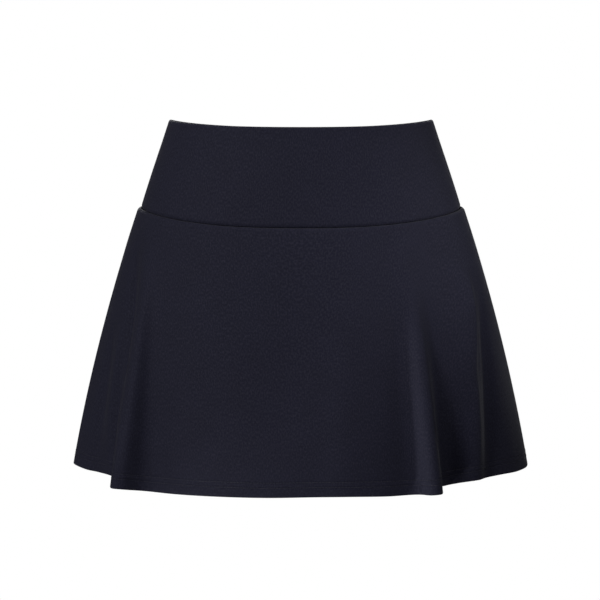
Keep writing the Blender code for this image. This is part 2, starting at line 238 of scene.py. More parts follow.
BAND_CREASES = [
    # from_angle, from_share, to_angle, to_share, from_width, to_width, lean, height, to_hem, bend
    (20.0, 0.10, 34.0, 0.95, 9.0, 9.0, 1.0, 0.5, 0, 1),
    (-8.0, 0.20, -22.0, 0.95, 8.0, 8.0, 1.0, 0.4, 0, 1),
    (150.0, 0.15, 164.0, 0.98, 8.0, 9.0, 1.0, 0.6, 0, 1),
    (214.0, 0.10, 200.0, 0.90, 9.0, 8.0, 1.0, 0.5, 0, 1),
    (184.0, 0.30, 178.0, 0.98, 5.0, 6.0, 1.0, -0.4, 0, 1),
]


def interpolate(xs, ys, x, period=None):
    """Smooth curve through a table, which may be periodic. ys may have several columns."""
    xs = np.asarray(xs, float)
    ys = np.asarray(ys, float)
    x = np.asarray(x, float)
    if period:
        wrap = 3
        xs = np.concatenate([xs[-wrap:] - period, xs, xs[:wrap] + period])
        ys = np.concatenate([ys[-wrap:], ys, ys[:wrap]])
        x = (x - xs[wrap]) % period + xs[wrap]
    step = np.diff(xs)
    weight = step[:, None] if ys.ndim > 1 else step
    slope = np.diff(ys, axis=0) / weight
    tangent = np.empty_like(ys)
    tangent[1:-1] = (slope[:-1] * weight[1:] + slope[1:] * weight[:-1]) / (
        weight[:-1] + weight[1:]
    )
    tangent[0] = slope[0]
    tangent[-1] = slope[-1]
    i = np.clip(np.searchsorted(xs, x, side="right") - 1, 0, len(xs) - 2)
    h = step[i]
    t = (x - xs[i]) / h
    if ys.ndim > 1:
        t = t[..., None]
        h = h[..., None]
    return (
        ys[i] * (2 * t**3 - 3 * t**2 + 1)
        + tangent[i] * h * (t**3 - 2 * t**2 + t)
        + ys[i + 1] * (3 * t**2 - 2 * t**3)
        + tangent[i + 1] * h * (t**3 - t**2)
    )


def oval(angle, half_width, front, back, squareness):
    """Point of a rounded oval as x and y, and its shares forward and across."""
    a = np.radians(angle)
    power = 2.0 / squareness
    across = np.sign(np.sin(a)) * np.abs(np.sin(a)) ** power
    forward = np.sign(np.cos(a)) * np.abs(np.cos(a)) ** power
    x = half_width * across
    y = -np.where(forward > 0, front, back) * forward
    return x, y, forward, across


def band_point(angle, share):
    """Outer surface of the waistband: share 0 is the top edge and 1 the lower seam."""
    _, _, forward, across = oval(angle, 1.0, 1.0, 1.0, DIP_SQUARENESS)
    top_dip = np.where(forward > 0, TOP_DIP_FRONT, TOP_DIP_BACK)
    seam_dip = np.where(forward > 0, SEAM_DIP_FRONT, SEAM_DIP_BACK)
    top = -top_dip * np.abs(forward) ** TOP_DIP_POWER
    seam = -SEAM_AT_SIDE - seam_dip * (1 - np.abs(across) ** SEAM_DIP_POWER)
    z = top + (seam - top) * share
    table = np.array(BAND_SECTIONS)[::-1]
    section = interpolate(table[:, 0], table[:, 1:], z)
    x, y, _, _ = oval(angle, section[..., 0], section[..., 1], section[..., 2], section[..., 3])
    below_top = np.maximum(top - z, 0)
    roll = TOP_ROLL - np.sqrt(
        np.maximum(TOP_ROLL**2 - np.maximum(TOP_ROLL - below_top, 0) ** 2, 0)
    )
    size = np.hypot(x, y)
    return np.stack([x * (1 - roll / size), y * (1 - roll / size), z], axis=-1)


def skirt_point(angle, share):
    """Outer surface of the skirt: share 0 is the seam and 1 the hem."""
    seam = band_point(angle, np.ones_like(angle))
    table = np.array(HEM_ROWS)
    table[:, 1] -= table[:, 0]
    hem = interpolate(table[:, 0], table[:, 1:], angle, period=360.0)
    hem[..., 0] += angle
    top_z = seam[..., 2] - SEAM_GAP
    below = (top_z - hem[..., 3]) * share
    shoulder = np.sqrt(
        np.maximum(SHOULDER**2 - np.maximum(SHOULDER - below, 0) ** 2, 0)
    ) * (1 - share)
    size = np.hypot(seam[..., 0], seam[..., 1])
    even_x, even_y, _, _ = oval(hem[..., 0], HEM_HALF_WIDTH, HEM_FRONT, HEM_BACK, HEM_SQUARENESS)
    flare = share + FLARE_BOW * share * (1 - share)
    starts = hem[..., 4]
    flute = np.maximum((share - starts) / (1 - starts), 0) ** FLUTE_GROWTH
    x = seam[..., 0] * (1 + shoulder / size)
    y = seam[..., 1] * (1 + shoulder / size)
    x = x + (even_x - seam[..., 0]) * flare + (hem[..., 1] - even_x) * flute
    y = y + (even_y - seam[..., 1]) * flare + (hem[..., 2] - even_y) * flute
    return np.stack([x, y, top_z - below], axis=-1)


def shorts_half(side, columns, rows_between):
    """Outer surface of one half of the shorts, from the centre front round the side to the
    centre back and below the crotch round the leg, and the row where the leg closes."""
    t = np.linspace(0, 1, columns)
    angle = 180.0 * t
    ends = np.abs(np.cos(np.pi * t)) ** 1.5

    def leg(centre_x, half_x, centre_y, half_y):
        turn = 2 * np.pi * t
        power = 2.0 / LEG_SQUARENESS
        x = centre_x - half_x * np.sign(np.cos(turn)) * np.abs(np.cos(turn)) ** power
        y = centre_y - half_y * np.sign(np.sin(turn)) * np.abs(np.sin(turn)) ** power
        return x, y

    top = band_point(angle, np.ones_like(angle))
    size = np.hypot(top[..., 0], top[..., 1])
    inset = 1 - (SKIRT_WALL + SEAM_GAP + SHORTS_INSET) / size
    height = top[..., 2] - SEAM_GAP - SHORTS_DROP
    keys = [np.stack([top[..., 0] * inset, top[..., 1] * inset, height])]
    for closing, z_side, z_centre, width, front, back in SHORTS_ROWS:
        hx, hy, _, _ = oval(angle, width, front, back, SHORTS_SQUARENESS)
        lx, ly = leg(*LEG_ROWS[0][1:])
        x = hx * (1 - closing) + lx * closing
        y = hy * (1 - closing) + ly * closing
        keys.append(np.stack([x, y, z_side + (z_centre - z_side) * ends]))
    for z, centre_x, half_x, centre_y, half_y in LEG_ROWS[1:]:
        x, y = leg(centre_x, half_x, centre_y, half_y)
        keys.append(np.stack([x, y, np.full_like(x, z)]))
    keys = np.array(keys).transpose(0, 2, 1)
    levels = np.arange(len(keys), dtype=float)
    fine = [np.linspace(a, a + 1, rows_between, endpoint=False) for a in levels[:-1]]
    fine = np.concatenate(fine + [[levels[-1]]])
    points = interpolate(levels, keys.reshape(len(keys), -1), fine).reshape(len(fine), columns, 3)
    points[..., 0] = side * np.maximum(points[..., 0], SEAM_GAP / 2)
    return points, len(SHORTS_ROWS) * rows_between


def crowded(angles, centres, count):
    """The same span of angles, set closer together round the given centres."""
    fine = np.linspace(angles[0], angles[-1], 4000)
    density = np.ones_like(fine)
    for centre, width, gain in centres:
        density += gain * np.exp(-(((fine - centre) / width) ** 2))
    total = np.concatenate([[0], np.cumsum((density[1:] + density[:-1]) / 2)])
    return np.interp(np.linspace(0, total[-1], count), total, fine)


def side_to_side(first, last, count, point, centres=()):
    """Angles of the columns from one side seam to the other, half a gap away from each, and
    close together beside them."""
    here = point(np.array([first, first + 0.05, last - 0.05, last]))
    speed = np.linalg.norm(here[1::2] - here[::2], axis=-1) / 0.05
    beside = np.array([0.15, 0.6, 1.2, 2.0, 3.2, 5.0])
    start = first + beside / speed[0]
    end = last - beside[::-1] / speed[1]
    inner = crowded((start[-1], end[0]), centres, count)[1:-1]
    return np.concatenate([start, inner, end])


def outward_normals(points, side=1, closed_from=None):
    """Unit normals of a grid of points, out of the cloth's outer surface."""
    along = np.gradient(points, axis=1)
    if closed_from is not None:
        turn = (points[closed_from:, 1] - points[closed_from:, -2]) / 2
        along[closed_from:, 0] = turn
        along[closed_from:, -1] = turn
    down = np.gradient(points, axis=0)
    normal = np.cross(down, along) * side
    return normal / np.linalg.norm(normal, axis=-1, keepdims=True)


def creased(points, normals, angle, share, creases):
    """The points moved along their normals by the soft creases of the table."""
    relief = np.zeros(points.shape[:2])
    for crease in creases:
        from_angle, from_share, to_angle, to_share = crease[:4]
        from_width, to_width, lean, height, to_hem, bend = crease[4:]
        t = (share - from_share) / (to_share - from_share)
        inside = np.clip(t, 0, 1)
        centre = from_angle + (to_angle - from_angle) * inside**bend
        width = from_width + (to_width - from_width) * inside
        start = np.sin(np.clip(inside / 0.4, 0, 1) * np.pi / 2) ** 2
        end = np.sin(np.clip((1 - inside) / 0.4, 0, 1) * np.pi / 2) ** 2
        fade = start * (to_hem + (1 - to_hem) * end)
        away = (angle - centre + 180.0) % 360.0 - 180.0
        width = np.where(away > 0, width * lean, width)
        relief += height * fade * np.exp(-((away / width) ** 2))
    return points + normals * relief[..., None]


def along_rows(points):
    """Distance of each point from its row's first point."""
    step = np.linalg.norm(np.diff(points, axis=1), axis=-1)
    return np.concatenate([np.zeros((len(points), 1)), np.cumsum(step, axis=1)], axis=1)


def flat_cut(points):
    """The cloth laid flat, as a sector of a ring whose inner and outer arcs are the piece's top
    and bottom: u across the grain and v along it at the piece's middle, in metres, and the
    lengths of the two arcs and of the piece, in millimetres."""
    across = along_rows(points)
    length = along_rows(points.transpose(1, 0, 2)).T
    down = length.mean(axis=1)
    top, bottom, height = across[0, -1], across[-1, -1], down[-1]
    spread = (bottom - top) / height
    if abs(spread) > 1e-3:
        radius = top / spread
        turn = (across[-1] / bottom - 0.5) * spread
        u = (radius + down[:, None]) * np.sin(turn)[None]
        v = (radius + down[:, None]) * np.cos(turn)[None] - radius
    else:
        u = (across / across[:, -1:] - 0.5) * (top + bottom) / 2
        v = np.repeat(down[:, None], points.shape[1], axis=1)
    return np.stack([u, -v], axis=-1) * MM, (top, bottom, height)


def sewn_edges(points, normals, reach, **depths):
    """The points sunk along their normals towards some edges, as cloth turns into its seams.
    A depth is one number or one for each row."""
    across = along_rows(points)
    down = along_rows(points.transpose(1, 0, 2)).T
    away = {"first": across, "last": across[:, -1:] - across, "bottom": down[-1:] - down}
    sunk = 0.0
    for edge, depth in depths.items():
        depth = np.reshape(depth, (-1, 1))
        sunk = np.maximum(sunk, depth * np.exp(-((away[edge] / reach) ** 2)))
    return points - normals * sunk[..., None]


def roll(edge, inward, normals, wall, height):
    """Rows that carry the cloth from its outer surface round its edge to the middle of its
    wall."""
    centre = edge - normals * wall / 2
    rows = []
    for k in range(1, EDGE_STEPS + 1):
        turn = np.pi / 2 * k / (EDGE_STEPS + 0.5)
        rows.append(centre + normals * wall / 2 * cos(turn) - inward * height * sin(turn))
    return rows


def cloth_shell(
    name, outer, normals, wall, uv, top_height, bottom_height, side=1, closed_from=None, lap=0
):
    """Closed shell of cloth: the outer surface, an inner one a wall behind it, and rounded
    edges. Its rows form loops round the cloth, and its ends beside the seams are capped. With
    a lap the ends slope, so that the inner surface reaches under the next piece's edge, or
    stands back from it where the lap is negative."""
    wall = np.broadcast_to(np.asarray(wall, float), (len(outer),))
    inner = outer - normals * wall[:, None, None]
    if closed_from is not None:
        beside = np.abs(outer[:closed_from, :, 0]) - SEAM_GAP / 2
        inner[:closed_from, :, 0] -= SEAM_LAP * np.exp(-((beside / 1.5) ** 2))
        for end in (0, -1):
            inner[:closed_from, end, 0] = outer[:closed_from, end, 0] - 1.4 * SEAM_LAP
    elif lap:
        across = along_rows(outer)
        for end, beside, away in ((0, 1, across), (-1, -2, across[:, -1:] - across)):
            out = outer[:, end] - outer[:, beside]
            out /= np.linalg.norm(out, axis=-1, keepdims=True)
            inner = inner + out[:, None] * (lap * np.exp(-((away / 2.0) ** 2)))[..., None]
    up = outer[0] - outer[1]
    up /= np.linalg.norm(up, axis=-1, keepdims=True)
    down = outer[-1] - outer[-2]
    down /= np.linalg.norm(down, axis=-1, keepdims=True)
    top = roll(outer[0], -up, normals[0], wall[0], top_height)
    bottom = roll(outer[-1], -down, normals[-1], wall[-1], bottom_height)
    top_in = roll(inner[0], -up, -normals[0], wall[0], top_height)
    bottom_in = roll(inner[-1], -down, -normals[-1], wall[-1], bottom_height)
    loop = top[::-1] + list(outer) + bottom + bottom_in[::-1] + list(inner[::-1]) + top_in
    loop = np.array(loop)
    count, columns, _ = loop.shape
    last_row = len(outer) - 1
    level = np.pad(np.arange(len(outer)), EDGE_STEPS, constant_values=(0, last_row))
    level = np.concatenate([level, level[::-1]])
    index = np.arange(count * columns).reshape(count, columns)
    after = np.roll(index, -1, axis=0)
    cloth = [index[:, :-1], after[:, :-1], after[:, 1:], index[:, 1:]]
    cloth = np.stack(cloth, axis=-1).reshape(-1, 4)
    row = np.arange(count // 2 - 1)
    if closed_from is not None:
        row = row[row < closed_from + EDGE_STEPS]
    ends = [index[row], index[count - 1 - row], index[count - 2 - row], index[row + 1]]
    first = np.stack([end[:, 0] for end in ends], axis=-1)
    last = np.stack([end[:, -1] for end in (ends[0], ends[3], ends[2], ends[1])], axis=-1)
    faces = np.concatenate([cloth, first, last])
    flat = uv[level].reshape(-1, 2)
    places = loop.reshape(-1, 3) * MM
    merge = np.arange(count * columns)
    if closed_from is not None:
        shut = index[level >= closed_from]
        merge[shut[:, -1]] = shut[:, 0]
    corners = merge[faces]
    if side < 0:
        corners = corners[:, ::-1]
        faces = faces[:, ::-1]
    used, compact = np.unique(corners, return_inverse=True)
    compact = compact.reshape(corners.shape)
    mesh = bpy.data.meshes.new(name)
    mesh.from_pydata(places[used].tolist(), [], compact.tolist())
    layer = mesh.uv_layers.new(name="flat_cut")
    layer.data.foreach_set("uv", flat[faces].reshape(-1))
    mesh.shade_smooth()
    mesh.set_sharp_from_angle(angle=radians(50))
    obj = bpy.data.objects.new(name, mesh)
    bpy.context.scene.collection.objects.link(obj)
    return obj


def new_socket(tree, name, kind, in_out="INPUT", value=None, low=None, high=None):
    """Named input or output of a node group."""
    socket = tree.interface.new_socket(name=name, in_out=in_out, socket_type=kind)
    if value is not None:
        socket.default_value = value
    if low is not None:
        socket.min_value = low
        socket.max_value = high


def node(tree, kind, place, inputs=None, **settings):
    """New node in a tree. An input is a value, or the socket that feeds it."""
    made = tree.nodes.new(kind)
    made.location = (place[0] * 190, -place[1] * 170)
    for key, value in settings.items():
        setattr(made, key, value)
    for key, value in (inputs or {}).items():
        if isinstance(value, bpy.types.NodeSocket):
            tree.links.new(value, made.inputs[key])
        else:
            made.inputs[key].default_value = value
    return made


def math_node(tree, operation, place, *values):
    """Output of a new math node."""
    inputs = dict(enumerate(values))
    return node(tree, "ShaderNodeMath", place, inputs, operation=operation).outputs[0]


def knit_group():
    """Heathered weft knit: wales of small V-shaped loops in the flat cut's coordinates, lighter
    filaments here and there, and faint broad mottling."""
    tree = bpy.data.node_groups.new("Heathered knit", "ShaderNodeTree")
    new_socket(tree, "Yarn", "NodeSocketColor", value=(*YARN, 1))
    new_socket(tree, "Light filament", "NodeSocketColor", value=(*FILAMENT, 1))
    new_socket(tree, "Heather", "NodeSocketFloat", value=0.5, low=0, high=1)
    new_socket(tree, "Wale width", "NodeSocketFloat", value=0.75 * MM, low=0.0001, high=0.01)
    new_socket(tree, "Course height", "NodeSocketFloat", value=0.6 * MM, low=0.0001, high=0.01)
    new_socket(tree, "Relief", "NodeSocketFloat", value=0.4, low=0, high=1)
    new_socket(tree, "Roughness", "NodeSocketFloat", value=0.8, low=0, high=1)
    new_socket(tree, "Color", "NodeSocketColor", "OUTPUT")
    new_socket(tree, "Roughness", "NodeSocketFloat", "OUTPUT")
    new_socket(tree, "Normal", "NodeSocketVector", "OUTPUT")
    group_in = node(tree, "NodeGroupInput", (0, 3))
    group_out = node(tree, "NodeGroupOutput", (9, 2))
    uv = node(tree, "ShaderNodeUVMap", (0, 0), uv_map="flat_cut")
    parts = node(tree, "ShaderNodeSeparateXYZ", (1, 0), {0: uv.outputs[0]})
    wale = math_node(tree, "DIVIDE", (2, 0), parts.outputs[0], group_in.outputs["Wale width"])
    within = math_node(tree, "FRACT", (3, 0), wale)
    middle = math_node(tree, "SUBTRACT", (4, 0), within, 0.5)
    off = math_node(tree, "ABSOLUTE", (5, 0), middle)
    course = math_node(tree, "DIVIDE", (2, 1), parts.outputs[1], group_in.outputs["Course height"])
    slant = math_node(tree, "MULTIPLY_ADD", (6, 0), off, 1.3, course)
    turns = math_node(tree, "MULTIPLY", (7, 0), slant, 2 * np.pi)
    leg = math_node(tree, "SINE", (8, 0), turns)
    leg = math_node(tree, "MULTIPLY_ADD", (9, 0), leg, 0.5, 0.5)
    crown = math_node(tree, "PINGPONG", (6, 1), wale, 0.5)
    crown = math_node(tree, "MULTIPLY", (7, 1), crown, 2.0)
    loops = math_node(tree, "MULTIPLY", (8, 1), leg, crown)

    fine = node(
        tree, "ShaderNodeTexNoise", (2, 3),
        {"Vector": uv.outputs[0], "Scale": 620.0, "Detail": 2.0, "Roughness": 0.6},
    )
    drawn = node(
        tree, "ShaderNodeMapping", (1, 4), {"Vector": uv.outputs[0], "Scale": (1.0, 0.45, 1.0)}
    )
    flecks = node(
        tree, "ShaderNodeTexNoise", (2, 4),
        {"Vector": drawn.outputs[0], "Scale": 900.0, "Detail": 1.0, "Roughness": 0.5},
    )
    mottle = node(
        tree, "ShaderNodeTexNoise", (2, 5),
        {"Vector": uv.outputs[0], "Scale": 34.0, "Detail": 3.0, "Roughness": 0.55},
    )
    fleck = node(
        tree, "ShaderNodeMapRange", (3, 4),
        {"Value": flecks.outputs[0], "From Min": 0.42, "From Max": 0.72},
    )
    amount = math_node(tree, "MULTIPLY", (4, 4), fleck.outputs[0], group_in.outputs["Heather"])
    tone = math_node(tree, "MULTIPLY_ADD", (3, 3), fine.outputs[0], 0.7, 0.65)
    broad = math_node(tree, "MULTIPLY_ADD", (3, 5), mottle.outputs[0], 0.24, 0.88)
    tone = math_node(tree, "MULTIPLY", (4, 3), tone, broad)
    yarn = node(
        tree, "ShaderNodeMix", (5, 3),
        {0: amount, 6: group_in.outputs["Yarn"], 7: group_in.outputs["Light filament"]},
        data_type="RGBA",
    )
    colour = node(
        tree, "ShaderNodeVectorMath", (6, 3), {0: yarn.outputs[2], "Scale": tone},
        operation="SCALE",
    )
    rough = math_node(
        tree, "MULTIPLY_ADD", (6, 4), fleck.outputs[0], -0.08, group_in.outputs["Roughness"]
    )
    fuzz = math_node(tree, "MULTIPLY_ADD", (7, 3), fine.outputs[0], 0.6, loops)
    bump = node(
        tree, "ShaderNodeBump", (8, 3),
        {"Strength": group_in.outputs["Relief"], "Distance": 0.12 * MM, "Height": fuzz},
    )
    tree.links.new(colour.outputs[0], group_out.inputs["Color"])
    tree.links.new(rough, group_out.inputs["Roughness"])
    tree.links.new(bump.outputs[0], group_out.inputs["Normal"])
    return tree


def knit(name, group, yarn, filament, **values):
    """Material of one knit cloth."""
    material = bpy.data.materials.new(name)
    material.use_nodes = True
    tree = material.node_tree
    shader = tree.nodes["Principled BSDF"]
    cloth = node(tree, "ShaderNodeGroup", (-2, 0), node_tree=group)
    cloth.inputs["Yarn"].default_value = (*yarn, 1)
    cloth.inputs["Light filament"].default_value = (*filament, 1)
    for key, value in values.items():
        cloth.inputs[key.replace("_", " ").capitalize()].default_value = value
    tree.links.new(cloth.outputs["Color"], shader.inputs["Base Color"])
    tree.links.new(cloth.outputs["Roughness"], shader.inputs["Roughness"])
    tree.links.new(cloth.outputs["Normal"], shader.inputs["Normal"])
    shader.inputs["Specular IOR Level"].default_value = 0.2
    shader.inputs["Sheen Weight"].default_value = 0.05
    shader.inputs["Sheen Roughness"].default_value = 0.5
    return material


def thread(name, colour):
    """Material of sewing thread, twisted from plies."""
    material = bpy.data.materials.new(name)
    material.use_nodes = True
    tree = material.node_tree
    shader = tree.nodes["Principled BSDF"]
    place = node(tree, "ShaderNodeTexCoord", (-6, 0))
    plies = node(
        tree, "ShaderNodeTexNoise", (-5, 0),
        {"Vector": place.outputs["Object"], "Scale": 2600.0, "Detail": 1.0},
    )
    shade = node(tree, "ShaderNodeValToRGB", (-4, 0), {"Fac": plies.outputs[0]})
    shade.color_ramp.elements[0].position = 0.3
    shade.color_ramp.elements[0].color = (*[c * 0.7 for c in colour], 1)
    shade.color_ramp.elements[1].position = 0.7
    shade.color_ramp.elements[1].color = (*[c * 1.3 for c in colour], 1)
    bump = node(
        tree, "ShaderNodeBump", (-3, 1),
        {"Strength": 0.5, "Distance": 0.05 * MM, "Height": plies.outputs[0]},
    )
    tree.links.new(shade.outputs[0], shader.inputs["Base Color"])
    tree.links.new(bump.outputs[0], shader.inputs["Normal"])
    shader.inputs["Roughness"].default_value = 0.6
    return material


def stitch_tree():
    """Geometry Nodes: a row of straight stitches along an edge path, each a short arc of thread
    that rises out of the cloth and sinks into it again."""
    tree = bpy.data.node_groups.new("Stitch row", "GeometryNodeTree")
    new_socket(tree, "Geometry", "NodeSocketGeometry")
    new_socket(tree, "Stitch pitch", "NodeSocketFloat", value=STITCH_PITCH * MM)
    new_socket(tree, "Stitch length", "NodeSocketFloat", value=STITCH_LENGTH * MM)
    new_socket(tree, "Thread radius", "NodeSocketFloat", value=THREAD_RADIUS * MM)
    new_socket(tree, "Rise", "NodeSocketFloat", value=0.35 * MM)
    new_socket(tree, "Thread", "NodeSocketMaterial")
    new_socket(tree, "Geometry", "NodeSocketGeometry", "OUTPUT")
    group_in = node(tree, "NodeGroupInput", (0, 0))
    group_out = node(tree, "NodeGroupOutput", (9, 0))
    path = node(tree, "GeometryNodeMeshToCurve", (1, 0), {"Mesh": group_in.outputs["Geometry"]})
    evenly = node(
        tree, "GeometryNodeResampleCurve", (2, 0),
        {"Curve": path.outputs[0], "Length": group_in.outputs["Stitch pitch"]},
        mode="LENGTH",
    )
    half = math_node(tree, "MULTIPLY", (1, 2), group_in.outputs["Stitch length"], 0.5)
    back = math_node(tree, "MULTIPLY", (2, 3), half, -1.0)
    start = node(tree, "ShaderNodeCombineXYZ", (3, 3), {"X": back})
    end = node(tree, "ShaderNodeCombineXYZ", (3, 2), {"X": half})
    line = node(
        tree, "GeometryNodeCurvePrimitiveLine", (4, 2),
        {"Start": start.outputs[0], "End": end.outputs[0]},
    )
    points = node(
        tree, "GeometryNodeResampleCurve", (5, 2), {"Curve": line.outputs[0], "Count": 6}
    )
    here = node(tree, "GeometryNodeInputPosition", (3, 4))
    parts = node(tree, "ShaderNodeSeparateXYZ", (4, 4), {0: here.outputs[0]})
    reach = math_node(tree, "DIVIDE", (5, 4), parts.outputs[0], half)
    reach = math_node(tree, "POWER", (6, 4), math_node(tree, "ABSOLUTE", (5, 5), reach), 4.0)
    lift = math_node(tree, "SUBTRACT", (7, 4), 0.55, reach)
    lift = math_node(tree, "MULTIPLY", (8, 4), lift, group_in.outputs["Rise"])
    offset = node(tree, "ShaderNodeCombineXYZ", (9, 4), {"Z": lift})
    arc = node(
        tree, "GeometryNodeSetPosition", (6, 2),
        {"Geometry": points.outputs[0], "Offset": offset.outputs[0]},
    )
    section = node(
        tree, "GeometryNodeCurvePrimitiveCircle", (6, 3),
        {"Resolution": 6, "Radius": group_in.outputs["Thread radius"]},
    )
    stitch = node(
        tree, "GeometryNodeCurveToMesh", (7, 2),
        {"Curve": arc.outputs[0], "Profile Curve": section.outputs[0], "Fill Caps": True},
    )
    smooth = node(tree, "GeometryNodeSetShadeSmooth", (8, 2), {"Geometry": stitch.outputs[0]})
    outward = node(
        tree, "GeometryNodeInputNamedAttribute", (1, 1), {"Name": "outward"},
        data_type="FLOAT_VECTOR",
    )
    tangent = node(tree, "GeometryNodeInputTangent", (2, 1))
    upright = node(
        tree, "FunctionNodeAlignRotationToVector", (3, 1), {"Vector": outward.outputs[0]},
        axis="Z",
    )
    turned = node(
        tree, "FunctionNodeAlignRotationToVector", (4, 1),
        {"Rotation": upright.outputs[0], "Vector": tangent.outputs[0]},
        axis="X", pivot_axis="Z",
    )
    placed = node(
        tree, "GeometryNodeInstanceOnPoints", (6, 0),
        {
            "Points": evenly.outputs[0],
            "Instance": smooth.outputs[0],
            "Rotation": turned.outputs[0],
        },
    )
    real = node(tree, "GeometryNodeRealizeInstances", (7, 0), {0: placed.outputs[0]})
    painted = node(
        tree, "GeometryNodeSetMaterial", (8, 0),
        {"Geometry": real.outputs[0], "Material": group_in.outputs["Thread"]},
    )
    tree.links.new(painted.outputs[0], group_out.inputs[0])
    return tree


def stitched(name, paths, tree, material, **sizes):
    """Stitches along several paths of points and outward normals, as one plain mesh."""
    places, edges, outward = [], [], []
    for points, normals, closed in paths:
        start = len(places)
        places += (points * MM).tolist()
        outward += normals.tolist()
        edges += [(start + k, start + k + 1) for k in range(len(points) - 1)]
        if closed:
            edges.append((start + len(points) - 1, start))
    mesh = bpy.data.meshes.new(name + "_path")
    mesh.from_pydata(places, edges, [])
    attribute = mesh.attributes.new("outward", "FLOAT_VECTOR", "POINT")
    attribute.data.foreach_set("vector", np.array(outward).reshape(-1))
    guide = bpy.data.objects.new(name + "_path", mesh)
    bpy.context.scene.collection.objects.link(guide)
    modifier = guide.modifiers.new("Stitches", "NODES")
    modifier.node_group = tree
    sockets = {s.name: s.identifier for s in tree.interface.items_tree if s.in_out == "INPUT"}
    modifier[sockets["Thread"]] = material
    for key, value in sizes.items():
        modifier[sockets[key.replace("_", " ").capitalize()]] = value
    evaluated = guide.evaluated_get(bpy.context.evaluated_depsgraph_get())
    result = bpy.data.meshes.new_from_object(evaluated)
    result.name = name
    bpy.data.objects.remove(guide)
    bpy.data.meshes.remove(mesh)
    obj = bpy.data.objects.new(name, result)
    bpy.context.scene.collection.objects.link(obj)
    return obj


def make_band(name, first, last, creases):
    """One piece of the waistband between two side seams, and its cut."""
    angles = side_to_side(first, last, BAND_COLUMNS, lambda a: band_point(a, np.ones_like(a)))
    length = SEAM_AT_SIDE
    edge = BAND_WALL / 2
    shares = np.concatenate(
        [
            np.array([1.0, 1.3, 1.8, 2.5, 3.4, 4.6, 6.2]) * edge / length,
            np.linspace(0.11, 0.93, BAND_ROWS),
            1 - np.array([4.4, 3.2, 2.2, 1.4, 0.8, 0.4]) / length,
        ]
    )
    angle, share = np.meshgrid(angles, shares)
    base = band_point(angle, share)
    points = creased(base, outward_normals(base), angle, share, creases)
    normals = outward_normals(points)
    uv, cut = flat_cut(points)
    beside = 0.7 * (1 - np.exp(-(((1 - shares) * length / 4) ** 2)))
    points = sewn_edges(points, normals, 1.2, first=beside, last=beside, bottom=0.9)
    lap = 1.6 * (SEAM_LAP if first < 0 else -SEAM_LAP)
    obj = cloth_shell(name, points, normals, BAND_WALL, uv, edge, 0.3, lap=lap)
    return obj, cut


def make_skirt(name, first, last, creases, centres):
    """One panel of the skirt between two side seams, its cut and its needle rows."""
    angles = side_to_side(
        first, last, SKIRT_COLUMNS, lambda a: skirt_point(a, np.zeros_like(a)), centres
    )
    length = -HEM_ROWS[0][4] - SEAM_AT_SIDE
    edge = HEM_WALL / 2
    # Heights above the hem's edge, close together at its step and its needle rows
    hem = np.array([19.5, 17.6, 16.4, 15.8, 15.2, 14.6, 14.0, 13.3, 12.1, 10.9, 10.2, 9.6, 9.0,
                    8.3, 7.3, 6.0, 4.8, 3.7, 2.8, 2.0, 1.4])
    shares = np.concatenate(
        [
            np.array([0.0, 0.08, 0.25, 0.5, 0.8, 1.15, 1.6, 2.4]) * SHOULDER / length,
            np.linspace(0.035, 0.918, SKIRT_ROWS),
            1 - hem / length,
            [1 - edge / length],
        ]
    )
    angle, share = np.meshgrid(angles, shares)
    base = skirt_point(angle, share)
    points = creased(base, outward_normals(base), angle, share, creases)
    normals = outward_normals(points)
    uv, cut = flat_cut(points)
    above = (1 - shares) * length
    sunk = np.zeros_like(above)
    for row in NEEDLE_ROWS:
        sunk += NEEDLE_DIP * np.exp(-(((above - row) / 0.9) ** 2))
    sunk -= NEEDLE_RIDGE * np.exp(-(((above - sum(NEEDLE_ROWS) / 2) / 1.4) ** 2))
    points = points - normals * sunk[:, None, None]
    beside = 0.6 * (1 - np.exp(-((shares * length / 4) ** 2)))
    points = sewn_edges(points, normals, 1.0, first=beside, last=beside)
    step = np.clip((above - HEM_TURN - 1.2) / -1.0, 0, 1)
    wall = SKIRT_WALL + (HEM_WALL - SKIRT_WALL) * step
    lap = SEAM_LAP if first < 0 else -SEAM_LAP
    obj = cloth_shell(name, points, normals, wall, uv, 0.25, edge, lap=lap)
    paths = []
    for height in NEEDLE_ROWS:
        row = np.abs(above - height).argmin()
        outward = normals[row, 1:-1]
        paths.append((points[row, 1:-1] + outward * PATH_LIFT, outward, False))
    return obj, cut, paths


def make_shorts(name, side):
    """One half of the shorts, its cut and its needle row."""
    points, closed_from = shorts_half(side, SHORTS_COLUMNS, SHORTS_ROWS_BETWEEN)
    normals = outward_normals(points, side, closed_from)
    uv, cut = flat_cut(points)
    height = -points[-1, 0, 2]
    above = height + points[:, 0, 2]
    wall = np.where(above < SHORTS_HEM_TURN, SHORTS_HEM_WALL, SHORTS_WALL)
    obj = cloth_shell(
        name, points, normals, wall, uv, 0.2, SHORTS_HEM_WALL / 2, side, closed_from
    )
    row = np.abs(above - SHORTS_NEEDLE_ROW).argmin()
    outward = normals[row, :-1]
    return obj, cut, [(points[row, :-1] + outward * PATH_LIFT, outward, True)]


LIGHT_DISTANCE = 2.5  # of the wide lights
MIDDLE = (0, 0, -0.2)  # of the garment


def aimed_lamp(name, data, azimuth, elevation, distance, aim):
    """Lamp that looks at a place: azimuth 0 is in front of the garment and 90 on its +X side."""
    lamp = bpy.data.objects.new(name, data)
    a, e = radians(azimuth), radians(elevation)
    away = Vector((sin(a) * cos(e), -cos(a) * cos(e), sin(e)))
    lamp.location = Vector(aim) + away * distance
    lamp.rotation_euler = away.to_track_quat("Z", "Y").to_euler()
    bpy.context.scene.collection.objects.link(lamp)


